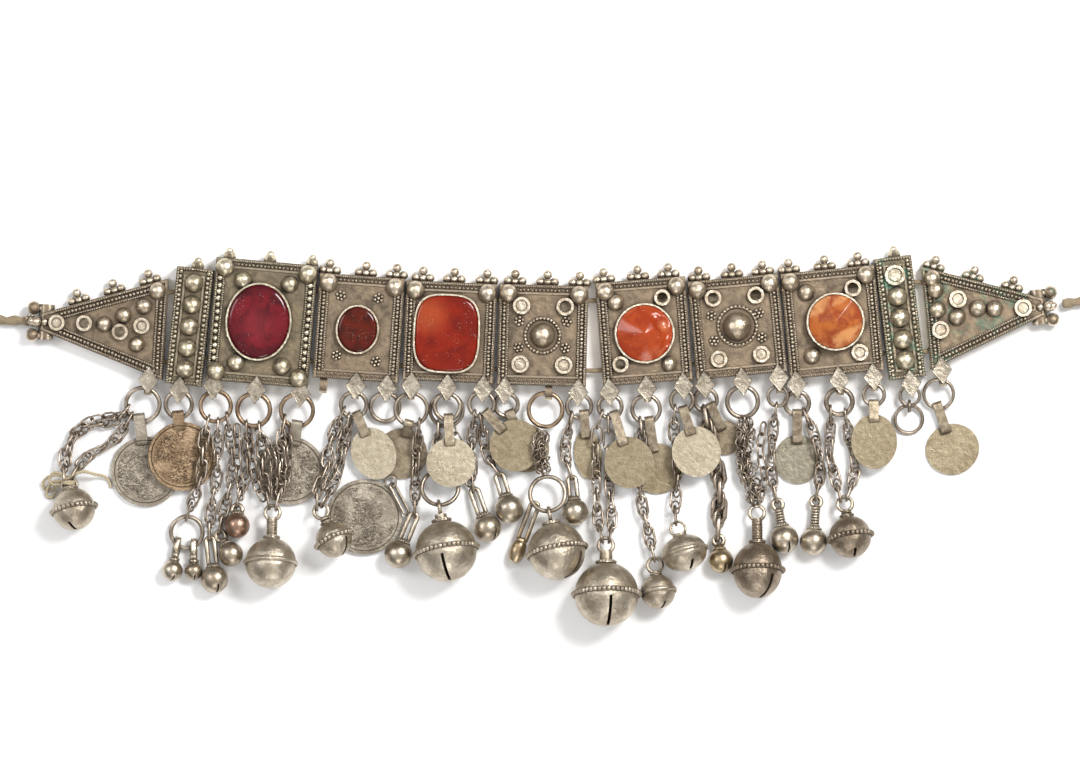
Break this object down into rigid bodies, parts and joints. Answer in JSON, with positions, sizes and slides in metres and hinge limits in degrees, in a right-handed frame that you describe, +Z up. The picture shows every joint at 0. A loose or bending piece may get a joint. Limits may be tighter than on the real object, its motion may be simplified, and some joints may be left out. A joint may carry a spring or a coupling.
{
  "type": "strung plate and bell necklace",
  "caption": "Flat necklace of hollow decorated plates strung on two cords, with rings, chains, discs, coins and round bells hanging below and a cotton tie cord.",
  "frame": {"origin": "middle of the plates and pendants' box, on the surface the necklace lies on (tie cord not counted)", "axes": "+X along the row of plates to the right, +Y towards the crested upper edges, +Z up out of the surface through the decorated faces"},
  "size_m": [0.345, 0.1943, 0.02],
  "materials": {
    "aged_silver_plates": "worn low-grade silver with dark brown tarnish in the recesses",
    "ring_silver": "worn wire, grey to brassy",
    "chain_silver": "worn wire links",
    "brassy_chain": "tangled fine wire chain, dull brassy grey",
    "plain_disc": "smooth worn sheet",
    "worn_coin": "low worn relief, not readable",
    "bell_silver": "worn sheet with tarnish by the seams",
    "ruby_glass": "polished dark ruby glass on foil",
    "brown_red_stone": "polished brown-red stone",
    "orange_carnelian": "polished flat carnelian",
    "banded_carnelian": "polished cone-cut carnelian with pale bands",
    "cotton_cord": "two-ply twisted cotton"
  },
  "bodies": {
    "root": {"left_end_plate": "aged_silver_plates", "left_bar": "aged_silver_plates", "box_1": "aged_silver_plates", "box_2": "aged_silver_plates", "box_3": "aged_silver_plates", "box_4": "aged_silver_plates", "box_5": "aged_silver_plates", "box_6": "aged_silver_plates", "box_7": "aged_silver_plates", "right_bar": "aged_silver_plates", "right_end_plate": "aged_silver_plates", "ruby_glass_stone": "ruby_glass", "small_oval_stone": "brown_red_stone", "cushion_carnelian": "orange_carnelian", "cone_carnelian_left": "banded_carnelian", "cone_carnelian_right": "banded_carnelian", "stringing_cord_upper": "cotton_cord", "stringing_cord_lower": "cotton_cord", "tie_cord": "cotton_cord", "jump_rings_left": "ring_silver", "jump_rings_middle": "ring_silver", "jump_rings_right": "ring_silver", "drop_rings": "ring_silver", "coin_1": "worn_coin", "coin_2": "worn_coin", "coin_3": "worn_coin", "coin_4": "worn_coin", "disc_1": "plain_disc", "disc_2": "plain_disc", "disc_3": "plain_disc", "disc_4": "plain_disc", "disc_5": "plain_disc", "disc_6": "plain_disc", "disc_7": "plain_disc", "disc_8": "plain_disc", "disc_9": "plain_disc", "disc_10": "plain_disc", "disc_11": "plain_disc", "disc_12": "plain_disc", "disc_13": "plain_disc", "bell_1": "bell_silver", "bell_2": "bell_silver", "bell_3": "bell_silver", "bell_4": "bell_silver", "bell_5": "bell_silver", "bell_6": "bell_silver", "bell_7": "bell_silver", "lens_bell": "bell_silver", "bell_9": "bell_silver", "bell_10": "bell_silver", "balls_left": "bell_silver", "balls_right": "bell_silver", "chain_far_left": "chain_silver", "chain_left_a": "chain_silver", "chain_left_b": "chain_silver", "chain_middle": "chain_silver", "chain_right_a": "chain_silver", "chain_right_b": "chain_silver", "bundle_middle": "brassy_chain", "bundle_right": "brassy_chain"}
  },
  "joints": []
}
